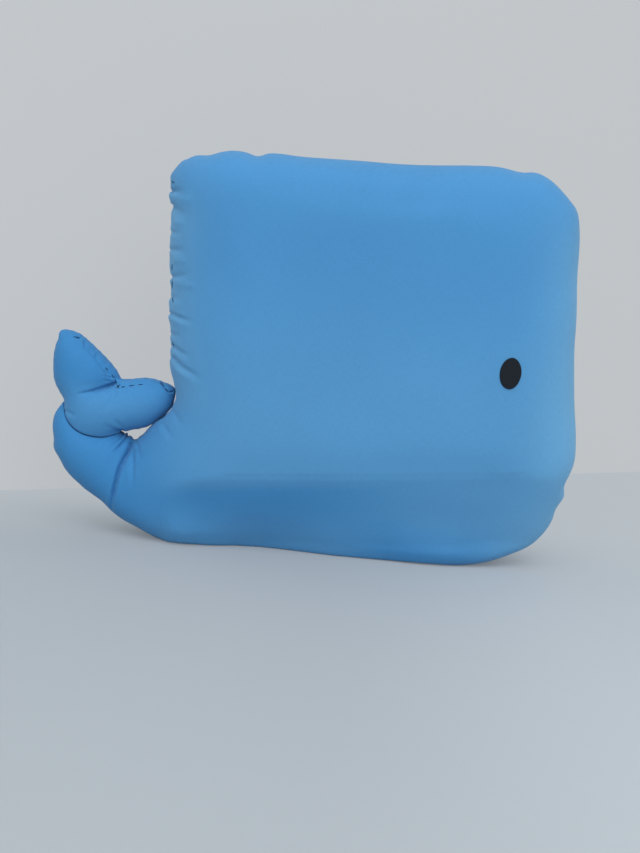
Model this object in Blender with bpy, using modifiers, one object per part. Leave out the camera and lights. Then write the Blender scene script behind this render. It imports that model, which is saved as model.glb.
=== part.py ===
"""Stuffed cotton whale cushion that stands on its belly, with a swept-up tail and two flukes.

+X points to the nose and +Z up, and the face with the eye that is seen first looks toward -Y.
The origin lies under the middle of the whale, on the surface that it stands on.

Every form is a puffed outline: two cloth panels meet at a seam in the plane Y = 0, and a
filling lies inside them. The tail bends at a fold beside the body, and the flukes bend at
the neck, where the cloth is drawn in.
"""

import math

import bmesh
import bpy
from mathutils import Vector
from mathutils.bvhtree import BVHTree
from mathutils.geometry import interpolate_bezier

MM = 0.001

# Cloth, seams and clearances
CLOTH = 0.8 * MM
SEAM_GAP = 0.3 * MM
SEAM_LIP = 1.0 * MM
FILLING_CLEARANCE = 0.3 * MM
SEAT_CLEARANCE = 0.3 * MM
FOLD_CLEARANCE = 0.5 * MM
CUT_OVERRUN = 20 * MM
MERGE_DISTANCE = 0.01 * MM

# Body: a square cushion with steep shoulders, on a pressed belly
BODY_LENGTH = 327 * MM
BODY_HEIGHT = 309 * MM
BODY_THICKNESS = 116 * MM
FACE_CROWN = 4 * MM
TOP_SHOULDER = 36 * MM
NOSE_SHOULDER = 36 * MM
REAR_SHOULDER = 48 * MM
BELLY_SLOPE = 70 * MM
FOOT_WIDTH = 50 * MM
FOOT_CUT = 0.5 * MM
FOOT_ROUND = 26 * MM

# Tail root: the short limb between the body's rear edge and the tail's fold
ROOT_LENGTH = 36 * MM
ROOT_HEIGHT = 83 * MM
ROOT_THICKNESS = 74 * MM

# Tail: the bulge from the fold round to the neck
TAIL_LENGTH = 56 * MM
TAIL_HEIGHT = 77 * MM
TAIL_THICKNESS = 54 * MM

# Flukes: the left one stands up, and the right one lies along the neck and meets the body
LEFT_FLUKE_REACH = 56 * MM
LEFT_FLUKE_RISE = 76 * MM
LEFT_FLUKE_THICKNESS = 40 * MM
RIGHT_FLUKE_RISE = 42 * MM
RIGHT_FLUKE_THICKNESS = 42 * MM
TIP_CLEARANCE = 2.6 * MM

# Eyes: one oval felt patch on each face
EYE_WIDTH = 16 * MM
EYE_HEIGHT = 23.6 * MM
EYE_FELT = 1.2 * MM
EYE_ROUNDING = 0.4 * MM
EYE_TILT = math.radians(4)
EYE_PLACE_SHARES = (0.802, 0.514)

# Steps of the smooth outline between two of its chosen points, and round an eye
OUTLINE_STEPS = 2
EYE_SEGMENTS = 24
SMOOTH_ANGLE = math.radians(50)

# Outlines run clockwise as seen from the front. Body: shares of its length and height, from
# the low rear corner up, over the top, down the nose and back along the belly.
BODY_OUTLINE_SHARES = (
    (0.018, 0.195), (0.022, 0.365), (0.016, 0.520), (0.004, 0.700), (-0.005, 0.840),
    (-0.008, 0.900), (0.004, 0.950), (0.040, 0.972), (0.110, 0.984), (0.311, 0.984),
    (0.530, 0.987), (0.733, 1.000), (0.842, 0.992), (0.900, 0.957), (0.934, 0.912),
    (0.944, 0.850), (0.950, 0.730), (0.964, 0.580), (0.986, 0.410), (1.000, 0.300),
    (0.990, 0.210), (0.968, 0.135), (0.935, 0.070), (0.880, 0.025), (0.790, 0.004),
    (0.600, 0.000), (0.160, 0.000), (0.040, 0.030),
)
# Tail root: shares of its length and height, from the body's rear edge and the floor. The
# points right of the rear edge lie inside the body, which cuts them away.
ROOT_OUTLINE_SHARES = (
    (-0.960, 0.540), (-0.850, 0.960), (-0.600, 0.920), (-0.330, 1.000), (0.000, 1.150),
    (0.390, 1.250), (0.750, 0.720), (0.500, 0.050), (-0.170, 0.040), (-0.920, 0.190),
)
ROOT_CORE_SHARES = (0.110, 0.600)
# The tail's fold, from its low end to the crotch, in the same shares
FOLD_SHARES = ((-0.965, 0.270), (-0.860, 0.985))
# Tail: shares of its length and height, from the low end of the fold
TAIL_OUTLINE_SHARES = (
    (-0.020, -0.070), (-0.350, 0.110), (-0.560, 0.230), (-0.770, 0.400), (-0.880, 0.570),
    (-0.900, 0.790), (-0.770, 1.010), (-0.340, 0.920), (0.065, 0.770), (0.035, 0.360),
)
TAIL_CORE_SHARES = (-0.360, 0.520)
# The neck's far end, in the same shares. It starts at the crotch.
NECK_END_SHARES = (-0.755, 1.000)
# Right fluke: shares of the neck's run left of the crotch, and of the room up to the body
# right of it, and of the fluke's rise over the crotch
RIGHT_FLUKE_OUTLINE_SHARES = (
    (-1.000, 0.440), (-0.670, 0.590), (-0.280, 0.800), (0.040, 0.965), (0.500, 1.000),
    (0.900, 0.970), (1.000, 0.810), (0.930, 0.560), (0.700, 0.320), (0.300, 0.090),
    (-0.060, 0.010), (-0.550, 0.200),
)
RIGHT_FLUKE_CORE_SHARES = (0.100, 0.550)
# Left fluke: shares of its reach left of the crotch and of its rise
LEFT_FLUKE_OUTLINE_SHARES = (
    (-0.945, 0.395), (-1.000, 0.550), (-1.000, 0.770), (-0.945, 0.985), (-0.760, 1.000),
    (-0.340, 0.785), (-0.090, 0.560),
)
# Its foot, in shares of the neck's run and of its rise. It lies inside the right fluke, which
# cuts it away.
LEFT_FLUKE_FOOT_SHARES = ((-0.240, 0.330), (-0.575, 0.230), (-0.955, 0.250))
LEFT_FLUKE_CORE_SHARES = (-0.620, 0.600)

# How a limb swells from its seam to its middle: shares of the way in and of the half thickness
LIMB_SWELL_SHARES = ((0.06, 0.28), (0.20, 0.70), (0.50, 0.95))
CORNER_EASE_SHARE = 0.6
# How the body's shoulders swell, and its belly slope, in shares of their width and height
SHOULDER_SWELL_SHARES = ((0.05, 0.44), (0.22, 0.73), (0.54, 0.90), (1.00, 1.00))
BELLY_SWELL_SHARES = ((0.28, 0.69), (0.64, 0.88), (1.00, 1.00))
HEEL_SHARE = 0.6
CROWN_RING_SHARE = 0.5
CROWN_RING_HEIGHT_SHARE = 0.75


# Outlines and folds, as points of the plane Y = 0 in lengths along X and heights along Z

def points_from(shares, corner, length, height):
    """Turn shares of a length and a height into points measured from a corner."""
    return [corner + Vector((length * along, height * up)) for along, up in shares]


def point_from(share, corner, length, height):
    """Turn one pair of shares into a point."""
    return points_from((share,), corner, length, height)[0]


def smooth_outline(points):
    """Return a closed curve through the points, with the same few steps in every span."""
    count = len(points)
    curve = []
    for index in range(count):
        before, start, end, after = (points[(index + k) % count] for k in (-1, 0, 1, 2))
        lead = math.sqrt((start - before).length)
        span = math.sqrt((end - start).length)
        trail = math.sqrt((after - end).length)
        leave = (start - before) * (span / lead) - (end - before) * (span / (lead + span))
        arrive = (after - end) * (span / trail) - (after - start) * (span / (span + trail))
        chord = end - start
        first = start + (leave + chord) / 3
        second = end - (arrive + chord) / 3
        curve += interpolate_bezier(start, first, second, end, OUTLINE_STEPS + 1)[:-1]
    return [Vector((point[0], point[1])) for point in curve]


def kept_from_line(points, line, clearance):
    """Push points back to the left of a directed line, the clearance away from it."""
    start, end = line
    along = (end - start).normalized()
    aside = Vector((-along.y, along.x))
    kept = []
    for point in points:
        short = clearance - (point - start).dot(aside)
        kept.append(point + aside * max(short, 0))
    return kept


def grown(outline, growth):
    """Return a clockwise outline moved outward by the growth, or inward where it is negative."""
    count = len(outline)
    moved = []
    for index in range(count):
        before, point, after = (outline[(index + k) % count] for k in (-1, 0, 1))
        arriving = (point - before).normalized()
        leaving = (after - point).normalized()
        aside = Vector((-arriving.y - leaving.y, arriving.x + leaving.x))
        moved.append(point + aside * (growth / (1 + arriving.dot(leaving))))
    return moved


def body_outline():
    """Return the body's seam line, which runs a little below the floor until it is cut flat."""
    corner = Vector((0, -FOOT_CUT))
    points = points_from(BODY_OUTLINE_SHARES, corner, BODY_LENGTH, BODY_HEIGHT + FOOT_CUT)
    floor_line = (corner, corner + Vector((BODY_LENGTH, 0)))
    return kept_from_line(smooth_outline(points), floor_line, 0)


def root_fold():
    """Return the tail's fold from its low end to the crotch."""
    return points_from(FOLD_SHARES, Vector((0, 0)), ROOT_LENGTH, ROOT_HEIGHT)


def root_outline():
    """Return the tail root's seam line, straight along the fold."""
    points = points_from(ROOT_OUTLINE_SHARES, Vector((0, 0)), ROOT_LENGTH, ROOT_HEIGHT)
    low, crotch = root_fold()
    return kept_from_line(smooth_outline(points), (crotch, low), FOLD_CLEARANCE / 2)


def neck_line():
    """Return the neck from the crotch to its far end."""
    low, crotch = root_fold()
    return [crotch, point_from(NECK_END_SHARES, low, TAIL_LENGTH, TAIL_HEIGHT)]


def tail_outline():
    """Return the tail's seam line, straight along the fold and the neck."""
    low, crotch = root_fold()
    neck_start, neck_end = neck_line()
    points = points_from(TAIL_OUTLINE_SHARES, low, TAIL_LENGTH, TAIL_HEIGHT)
    curve = kept_from_line(smooth_outline(points), (low, crotch), FOLD_CLEARANCE / 2)
    return kept_from_line(curve, (neck_start, neck_end), FOLD_CLEARANCE / 2)


def rear_edge_at(height):
    """Return how far the body's rear edge lies from X = 0 at a height."""
    middle = BODY_LENGTH / 2
    level = [point for point in body_outline() if point.x < middle]
    below = max((point for point in level if point.y <= height), key=lambda point: point.y)
    above = min((point for point in level if point.y > height), key=lambda point: point.y)
    share = (height - below.y) / (above.y - below.y)
    return below.lerp(above, share).x


def right_fluke_outline():
    """Return the right fluke's seam line, from the neck to a tip beside the body."""
    crotch, far = neck_line()
    run = crotch.x - far.x
    tip_share = max(RIGHT_FLUKE_OUTLINE_SHARES)[1]
    tip_height = crotch.y + RIGHT_FLUKE_RISE * tip_share
    room = rear_edge_at(tip_height) - TIP_CLEARANCE - crotch.x
    points = []
    for along, up in RIGHT_FLUKE_OUTLINE_SHARES:
        length = room if along > 0 else run
        points.append(crotch + Vector((length * along, RIGHT_FLUKE_RISE * up)))
    return kept_from_line(smooth_outline(points), (far, crotch), FOLD_CLEARANCE / 2)


def left_fluke_outline():
    """Return the left fluke's seam line."""
    crotch, far = neck_line()
    run = crotch.x - far.x
    points = points_from(LEFT_FLUKE_OUTLINE_SHARES, crotch, LEFT_FLUKE_REACH, LEFT_FLUKE_RISE)
    points += points_from(LEFT_FLUKE_FOOT_SHARES, crotch, run, LEFT_FLUKE_RISE)
    return kept_from_line(smooth_outline(points), (far, crotch), FOLD_CLEARANCE / 2)


def rear_edge_x():
    """Return where X = 0 of the outlines lies, so that the whale is centred on the origin."""
    nose = max(point.x for point in body_outline())
    tail = min(point.x for point in tail_outline() + left_fluke_outline())
    return -(nose + tail) / 2


# Puffed forms: rows of (point, distance from the seam plane), from the seam to the middle

def rounded(outline):
    """Return an outline with its corners eased toward their neighbours."""
    count = len(outline)
    sides = [(outline[index - 1] + outline[(index + 1) % count]) / 2 for index in range(count)]
    return [point.lerp(side, CORNER_EASE_SHARE) for point, side in zip(outline, sides)]


def seam_rows(outline, seam):
    """Return the seam's own row, and on a cloth form the lip that rises straight from it."""
    rows = [[(point, seam) for point in outline]]
    if seam:
        rows.append([(point, seam + SEAM_LIP) for point in outline])
    return rows


def limb_rows(outline, core, thickness, seam, growth):
    """Return the rows of a limb that swells evenly from its seam to its core point."""
    half = thickness / 2 + growth
    moved = grown(outline, growth)
    rows = seam_rows(moved, seam)
    for inward, height in LIMB_SWELL_SHARES:
        rows.append([(point.lerp(core, inward), half * height) for point in moved])
        moved = rounded(moved)
    return rows, (core, half)


def inner_outline(outline):
    """Fit the body's outline to the box that its shoulders and belly slope leave."""
    low = Vector((min(point.x for point in outline), min(point.y for point in outline)))
    high = Vector((max(point.x for point in outline), max(point.y for point in outline)))
    inner_low = low + Vector((REAR_SHOULDER, BELLY_SLOPE))
    inner_high = high - Vector((NOSE_SHOULDER, TOP_SHOULDER))
    fitted = []
    for point in outline:
        along = (point.x - low.x) / (high.x - low.x)
        up = (point.y - low.y) / (high.y - low.y)
        fitted.append(Vector((
            inner_low.x + (inner_high.x - inner_low.x) * along,
            inner_low.y + (inner_high.y - inner_low.y) * up,
        )))
    return fitted


def blend(first, second, share):
    """Return the value that lies a share of the way from the first to the second."""
    return first + (second - first) * share


def body_rows(outline, seam, growth):
    """Return the body's rows: seam, shoulders with the pressed belly, and a crowned face."""
    edge = BODY_THICKNESS / 2 - FACE_CROWN + growth
    moved = grown(outline, growth)
    inner = inner_outline(moved)
    pressed = [max(0, 1 - (point.y + FOOT_CUT) / FOOT_ROUND) for point in outline]
    heel = (HEEL_SHARE * FOOT_CUT / BELLY_SLOPE, (FOOT_WIDTH / 2 + growth) / edge)
    rows = seam_rows(moved, seam)
    for shoulder, belly in zip(SHOULDER_SWELL_SHARES, (heel,) + BELLY_SWELL_SHARES):
        row = []
        for point, target, press in zip(moved, inner, pressed):
            inward = blend(shoulder[0], belly[0], press)
            height = blend(shoulder[1], belly[1], press)
            row.append((point.lerp(target, inward), edge * height))
        rows.append(row)
    middle = sum(inner, Vector((0, 0))) / len(inner)
    crown = edge + FACE_CROWN * CROWN_RING_HEIGHT_SHARE
    rows.append([(point.lerp(middle, CROWN_RING_SHARE), crown) for point in inner])
    return rows, (middle, edge + FACE_CROWN)


def half_form(rows, middle, side):
    """Join rows into an open surface on one side of the seam plane, facing outward."""
    form = bmesh.new()
    rings = []
    for row in rows:
        rings.append([form.verts.new((point.x, side * out, point.y)) for point, out in row])
    point, out = middle
    tip = form.verts.new((point.x, side * out, point.y))
    count = len(rings[0])
    triangles = []
    for index in range(count):
        after = (index + 1) % count
        for outer, inner in zip(rings, rings[1:]):
            triangles.append((outer[index], inner[index], inner[after]))
            triangles.append((outer[index], inner[after], outer[after]))
        triangles.append((rings[-1][index], tip, rings[-1][after]))
    for corners in triangles:
        form.faces.new(corners if side < 0 else corners[::-1])
    return form


# Objects, materials and the empties that carry them

def material(name, colour, roughness):
    """Return a plain non-metallic material."""
    made = bpy.data.materials.new(name)
    made.use_nodes = True
    shader = made.node_tree.nodes["Principled BSDF"]
    shader.inputs["Base Color"].default_value = (*colour, 1)
    shader.inputs["Roughness"].default_value = roughness
    shader.inputs["Metallic"].default_value = 0
    return made


def blue_cotton():
    """Plain-woven sky-blue cotton."""
    return material("blue_cotton", (0.069, 0.283, 0.565), 0.85)


def white_stuffing():
    """Polyester fibre filling."""
    return material("white_stuffing", (0.80, 0.80, 0.78), 0.95)


def dark_felt():
    """Near-black felt."""
    return material("dark_felt", (0.011, 0.016, 0.025), 0.9)


def add_object(name, form, collection, carrier, finish=None):
    """Make a smooth-shaded object from a bmesh, on the empty that carries it."""
    mesh = bpy.data.meshes.new(name)
    form.to_mesh(mesh)
    form.free()
    mesh.shade_smooth()
    mesh.set_sharp_from_angle(angle=SMOOTH_ANGLE)
    made = bpy.data.objects.new(name, mesh)
    if finish:
        mesh.materials.append(finish)
    collection.objects.link(made)
    carry(made, carrier)
    return made


def carry(piece, carrier):
    """Hang a piece on its carrier, and leave it where its own values put it."""
    piece.parent = carrier
    if carrier.parent:
        piece.matrix_parent_inverse = carrier.matrix_basis.inverted()


def fold_empty(name, line, collection, carrier):
    """Add an empty in the middle of a fold, with its Z axis along the fold."""
    start, end = line
    middle = (start + end) / 2
    empty = bpy.data.objects.new(name, None)
    empty.empty_display_size = (end - start).length / 2
    empty.location = (middle.x, 0, middle.y)
    empty.rotation_euler = (0, math.atan2(end.x - start.x, end.y - start.y), 0)
    collection.objects.link(empty)
    carry(empty, carrier)
    return empty


def add_cut(piece, cutter):
    """Cut a piece by another solid."""
    cut = piece.modifiers.new("cut by " + cutter.name, "BOOLEAN")
    cut.operation = "DIFFERENCE"
    cut.solver = "EXACT"
    cut.object = cutter


def add_mirror(piece):
    """Close a half form with its mirror image behind the seam plane."""
    mirror = piece.modifiers.new("both halves", "MIRROR")
    mirror.use_axis = (False, True, False)
    mirror.merge_threshold = MERGE_DISTANCE


def add_panel(name, rows, middle, side, group, carrier, cutters):
    """Add one cloth panel: the outer surface, thickened inward by the cloth."""
    panel = add_object(name, half_form(rows, middle, side), group, carrier, FINISHES["cloth"])
    cloth = panel.modifiers.new("cloth", "SOLIDIFY")
    cloth.thickness = CLOTH
    cloth.offset = -1
    cloth.use_even_offset = True
    for cutter in cutters:
        add_cut(panel, cutter)
    return panel


def add_filling(name, rows, middle, group, carrier, cutters):
    """Add the filling: the form inside the cloth, closed across the seam plane."""
    filling = add_object(name, half_form(rows, middle, -1), group, carrier, FINISHES["filling"])
    add_mirror(filling)
    for cutter in cutters:
        add_cut(filling, cutter)


def add_envelope(name, rows, middle, group, carrier):
    """Add a cutter: a whole form grown by the clearance that its neighbours keep to it."""
    envelope = add_object(name, half_form(rows, middle, -1), group, carrier)
    envelope.hide_render = True
    envelope.display_type = "WIRE"
    add_mirror(envelope)
    return envelope


def add_floor_cutter(group, carrier):
    """Add the block below the floor that cuts the belly flat."""
    form = bmesh.new()
    bmesh.ops.create_cube(form, size=1)
    size = Vector((BODY_LENGTH + CUT_OVERRUN, BODY_THICKNESS + CUT_OVERRUN, CUT_OVERRUN))
    bmesh.ops.scale(form, vec=size, verts=form.verts)
    bmesh.ops.translate(form, vec=(BODY_LENGTH / 2, 0, -CUT_OVERRUN / 2), verts=form.verts)
    block = add_object("floor_cutter", form, group, carrier)
    block.hide_render = True
    block.display_type = "WIRE"
    return block


# The whale's pieces

def add_puffed(name, rows_at, group, carrier, panel_cutters=(), filling_cutters=()):
    """Add a form's two panels and its filling, and return the front panel."""
    rows, middle = rows_at(SEAM_GAP / 2, 0)
    front = add_panel(name + "_front_panel", rows, middle, -1, group, carrier, panel_cutters)
    add_panel(name + "_back_panel", rows, middle, 1, group, carrier, panel_cutters)
    rows, middle = rows_at(0, -(CLOTH + FILLING_CLEARANCE))
    add_filling(name + "_filling", rows, middle, group, carrier, filling_cutters)
    return front


def add_body(whale, cutters, carrier):
    """Add the body with its belly cut flat, and the envelope that cuts the tail root."""
    def rows_at(seam, growth):
        return body_rows(body_outline(), seam, growth)

    floor = add_floor_cutter(cutters, carrier)
    front = add_puffed("body", rows_at, whale, carrier, panel_cutters=(floor,))
    grown_rows = rows_at(0, SEAT_CLEARANCE)
    return front, add_envelope("body_envelope", *grown_rows, cutters, carrier)


def add_root(whale, carrier, envelope):
    """Add the tail root, which the body cuts."""
    core = point_from(ROOT_CORE_SHARES, Vector((0, 0)), ROOT_LENGTH, ROOT_HEIGHT)

    def rows_at(seam, growth):
        return limb_rows(root_outline(), core, ROOT_THICKNESS, seam, growth)

    add_puffed("tail_root", rows_at, whale, carrier, (envelope,), (envelope,))


def add_tail(whale, carrier):
    """Add the tail between the fold and the neck."""
    core = point_from(TAIL_CORE_SHARES, root_fold()[0], TAIL_LENGTH, TAIL_HEIGHT)

    def rows_at(seam, growth):
        return limb_rows(tail_outline(), core, TAIL_THICKNESS, seam, growth)

    add_puffed("tail", rows_at, whale, carrier)


def add_right_fluke(whale, cutters, carrier):
    """Add the right fluke, and the envelope that cuts the left one."""
    crotch, far = neck_line()
    core = point_from(RIGHT_FLUKE_CORE_SHARES, crotch, crotch.x - far.x, RIGHT_FLUKE_RISE)

    def rows_at(seam, growth):
        return limb_rows(right_fluke_outline(), core, RIGHT_FLUKE_THICKNESS, seam, growth)

    add_puffed("right_fluke", rows_at, whale, carrier)
    grown_rows = rows_at(0, SEAT_CLEARANCE)
    return add_envelope("right_fluke_envelope", *grown_rows, cutters, carrier)


def add_left_fluke(whale, carrier, envelope):
    """Add the left fluke, which the right one cuts."""
    crotch = neck_line()[0]
    core = point_from(LEFT_FLUKE_CORE_SHARES, crotch, LEFT_FLUKE_REACH, LEFT_FLUKE_RISE)

    def rows_at(seam, growth):
        return limb_rows(left_fluke_outline(), core, LEFT_FLUKE_THICKNESS, seam, growth)

    add_puffed("left_fluke", rows_at, whale, carrier, (envelope,), (envelope,))


def add_eye(name, side, front_panel, whale, carrier):
    """Lay an oval felt patch on one face, the seat clearance off the cloth under it."""
    cloth = BVHTree.FromObject(front_panel, bpy.context.evaluated_depsgraph_get())
    place = point_from(EYE_PLACE_SHARES, Vector((0, 0)), BODY_LENGTH, BODY_HEIGHT)
    form = bmesh.new()
    bmesh.ops.create_circle(form, cap_ends=True, cap_tris=True, radius=1, segments=EYE_SEGMENTS)
    for vertex in form.verts:
        across = vertex.co.x * EYE_WIDTH / 2
        up = vertex.co.y * EYE_HEIGHT / 2
        x = place.x + across * math.cos(EYE_TILT) + up * math.sin(EYE_TILT)
        z = place.y + up * math.cos(EYE_TILT) - across * math.sin(EYE_TILT)
        seat = cloth.ray_cast(Vector((x, -BODY_THICKNESS, z)), Vector((0, 1, 0)))[0]
        vertex.co = (x, side * (SEAT_CLEARANCE - seat.y), z)
    for face in form.faces:
        face.normal_update()
        if face.normal.y * side < 0:
            face.normal_flip()
    eye = add_object(name, form, whale, carrier, FINISHES["felt"])
    felt = eye.modifiers.new("felt", "SOLIDIFY")
    felt.thickness = EYE_FELT
    felt.offset = 1
    rim = eye.modifiers.new("rounded rim", "BEVEL")
    rim.width = EYE_ROUNDING
    rim.segments = 1
    rim.limit_method = "ANGLE"


for old in list(bpy.data.objects):
    bpy.data.objects.remove(old, do_unlink=True)

FINISHES = {"cloth": blue_cotton(), "filling": white_stuffing(), "felt": dark_felt()}


def add_whale():
    """Build the whale from the body outward."""
    whale = bpy.data.collections.new("whale")
    cutters = bpy.data.collections.new("cutters")
    bpy.context.scene.collection.children.link(whale)
    bpy.context.scene.collection.children.link(cutters)
    base = bpy.data.objects.new("whale_base", None)
    base.location = (rear_edge_x(), 0, 0)
    whale.objects.link(base)

    front, body_envelope = add_body(whale, cutters, base)
    add_root(whale, base, body_envelope)
    add_eye("front_eye", -1, front, whale, base)
    add_eye("back_eye", 1, front, whale, base)

    tail_fold = fold_empty("tail_fold", root_fold(), whale, base)
    add_tail(whale, tail_fold)

    neck_fold = fold_empty("neck_fold", neck_line(), whale, tail_fold)
    fluke_envelope = add_right_fluke(whale, cutters, neck_fold)
    add_left_fluke(whale, neck_fold, fluke_envelope)


add_whale()
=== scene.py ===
"""Plush whale: a stuffed cotton cushion with a swept-up tail and two flukes, dressed for a picture.

+X points to the nose, +Z up, and the face with the nearer eye looks toward -Y. All in metres.
"""

import math

import bpy
import numpy as np
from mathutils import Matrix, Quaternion, Vector
from mathutils.geometry import delaunay_2d_cdt


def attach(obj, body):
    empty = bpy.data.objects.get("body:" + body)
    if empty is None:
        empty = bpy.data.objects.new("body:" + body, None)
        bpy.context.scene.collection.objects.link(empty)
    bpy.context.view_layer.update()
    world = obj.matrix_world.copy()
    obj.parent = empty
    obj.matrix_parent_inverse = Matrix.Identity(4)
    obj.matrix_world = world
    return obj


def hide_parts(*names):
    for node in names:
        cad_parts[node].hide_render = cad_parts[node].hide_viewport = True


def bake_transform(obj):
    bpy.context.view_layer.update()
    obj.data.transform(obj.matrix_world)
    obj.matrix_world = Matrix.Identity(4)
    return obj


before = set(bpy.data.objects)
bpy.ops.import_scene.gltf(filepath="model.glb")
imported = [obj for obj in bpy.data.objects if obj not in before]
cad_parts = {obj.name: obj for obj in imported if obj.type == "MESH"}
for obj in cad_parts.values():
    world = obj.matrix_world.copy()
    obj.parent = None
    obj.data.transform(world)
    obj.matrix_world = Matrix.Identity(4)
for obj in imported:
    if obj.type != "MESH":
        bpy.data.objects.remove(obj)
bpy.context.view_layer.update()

MM = 0.001


# The view: the whale stands on a pale floor before a pale wall. The camera stands straight in
# front of it and a little above, as a phone held by hand, so that the picture is rolled.

VIEW_RISE = math.radians(6)
VIEW_ROLL = math.radians(4.7)
VIEW_DISTANCE = 850 * MM
PICTURE_HEIGHT = 853
PICTURE_WIDTH = 640
FOCAL_PIXELS = 1075
SENSOR_WIDTH = 36
WHALE_PIXEL = (318.4, 357.5)
WHALE_MIDDLE = Vector((0, 0, 153 * MM))

camera_data = bpy.data.cameras.new("view")
camera_data.sensor_fit = "AUTO"
camera_data.sensor_width = SENSOR_WIDTH
camera_data.lens = SENSOR_WIDTH * FOCAL_PIXELS / PICTURE_HEIGHT
camera = bpy.data.objects.new("view", camera_data)
bpy.context.scene.collection.objects.link(camera)
toward_view = Vector((0, -math.cos(VIEW_RISE), math.sin(VIEW_RISE)))
dip = math.atan((PICTURE_HEIGHT / 2 - WHALE_PIXEL[1]) / FOCAL_PIXELS)
swing = math.atan((PICTURE_WIDTH / 2 - WHALE_PIXEL[0]) / FOCAL_PIXELS)
turn = (-toward_view).to_track_quat("-Z", "Y") @ Quaternion((0, 0, 1), VIEW_ROLL)
turn = turn @ Quaternion((1, 0, 0), -dip) @ Quaternion((0, 1, 0), -swing)
camera.location = WHALE_MIDDLE + toward_view * VIEW_DISTANCE
camera.rotation_mode = "QUATERNION"
camera.rotation_quaternion = turn
bpy.context.scene.camera = camera

bpy.context.scene.view_settings.view_transform = "Standard"


def add(tree, kind, **values):
    """A node with some of its inputs or settings given."""
    node = tree.nodes.new(kind)
    for key, value in values.items():
        if key in node.inputs:
            node.inputs[key].default_value = value
        else:
            setattr(node, key, value)
    return node


def combined(tree, operation, first, second):
    """A sum, a product or the like of two outputs."""
    node = add(tree, "ShaderNodeMath", operation=operation)
    tree.links.new(first, node.inputs[0])
    tree.links.new(second, node.inputs[1])
    return node.outputs[0]


def rescaled(tree, value, span, new_span, rise="LINEAR"):
    """An output's value carried from one span of numbers over to another."""
    node = add(tree, "ShaderNodeMapRange", interpolation_type=rise)
    for key, number in zip(("From Min", "From Max", "To Min", "To Max"), (*span, *new_span)):
        node.inputs[key].default_value = number
    tree.links.new(value, node.inputs["Value"])
    return node.outputs["Result"]


PAINT_ROUGHNESS = 0.75
PAINT_CLOUDS = 3
PAINT_DARKEST = 0.96
PAINTED_LIGHT_X = (0, 210 * MM)
SHADOW_Y = (-70 * MM, 120 * MM)


def plain_paint(name, colour, seen, seen_shares, right_painted_light):
    """A matt paint with a faint unevenness, and painted light that makes it lighter by a gain to the
    right of the whale. The camera sees its shadows lightened by a painted glow: by one share in
    front of the whale and one behind it."""
    paint = bpy.data.materials.new(name)
    paint.use_nodes = True
    tree = paint.node_tree
    shader = tree.nodes["Principled BSDF"]
    shader.inputs["Roughness"].default_value = PAINT_ROUGHNESS
    place = add(tree, "ShaderNodeTexCoord")
    ground = add(tree, "ShaderNodeSeparateXYZ")
    cloud = add(tree, "ShaderNodeTexNoise", Scale=PAINT_CLOUDS, Detail=3)
    tint = add(tree, "ShaderNodeMix", data_type="RGBA")
    tint.inputs[6].default_value = (*colour, 1)
    tint.inputs[7].default_value = (*[c * PAINT_DARKEST for c in colour], 1)
    tree.links.new(place.outputs["Object"], ground.inputs[0])
    tree.links.new(place.outputs["Object"], cloud.inputs["Vector"])
    tree.links.new(cloud.outputs["Fac"], tint.inputs[0])
    # Painted light: the paint's colour is made lighter towards the right of the whale
    gained = add(tree, "ShaderNodeVectorMath", operation="SCALE")
    gain = rescaled(tree, ground.outputs["X"], PAINTED_LIGHT_X, (1, right_painted_light), "SMOOTHSTEP")
    tree.links.new(tint.outputs[2], gained.inputs[0])
    tree.links.new(gain, gained.inputs["Scale"])
    tree.links.new(gained.outputs[0], shader.inputs["Base Color"])
    plain = add(tree, "ShaderNodeEmission", Color=(*seen, 1))
    path = add(tree, "ShaderNodeLightPath")
    shown = rescaled(tree, ground.outputs["Y"], SHADOW_Y, seen_shares, "SMOOTHSTEP")
    lightened = add(tree, "ShaderNodeMixShader", name="lightened")
    tree.links.new(combined(tree, "MULTIPLY", path.outputs["Is Camera Ray"], shown),
                   lightened.inputs[0])
    tree.links.new(shader.outputs["BSDF"], lightened.inputs[1])
    tree.links.new(plain.outputs["Emission"], lightened.inputs[2])
    tree.links.new(lightened.outputs["Shader"], tree.nodes["Material Output"].inputs["Surface"])
    return paint


def open_from_behind(paint):
    """Lets the view through the paint's back, so that the wall hides nothing from behind."""
    tree = paint.node_tree
    side = add(tree, "ShaderNodeNewGeometry")
    clear = add(tree, "ShaderNodeBsdfTransparent")
    either = add(tree, "ShaderNodeMixShader")
    tree.links.new(side.outputs["Backfacing"], either.inputs[0])
    tree.links.new(tree.nodes["lightened"].outputs["Shader"], either.inputs[1])
    tree.links.new(clear.outputs["BSDF"], either.inputs[2])
    tree.links.new(either.outputs["Shader"], tree.nodes["Material Output"].inputs["Surface"])


def piece_from(name, corners, faces, finish, smooth=True):
    """An object of the given corners and faces, in one finish."""
    mesh = bpy.data.meshes.new(name)
    mesh.from_pydata(corners, [], faces)
    mesh.materials.append(finish)
    mesh.validate()
    mesh.polygons.foreach_set("use_smooth", [smooth] * len(mesh.polygons))
    piece = bpy.data.objects.new(name, mesh)
    bpy.context.scene.collection.objects.link(piece)
    return piece


STAGE_REACH = 3.0
FLOOR_COLOUR = (0.405, 0.44, 0.465)
FLOOR_SEEN = (0.478, 0.525, 0.565)
FLOOR_SEEN_SHARES = (0.12, 0.85)
# How much lighter the floor is painted to the right of the whale, as painted light
FLOOR_PAINTED_LIGHT = 1.18
WALL_COLOUR = (0.56, 0.585, 0.60)
WALL_SEEN = (0.536, 0.560, 0.578)
WALL_SEEN_SHARES = (0.8, 0.8)
WALL_GAP = 235 * MM
WALL_TURN = math.radians(26.9)

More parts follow.
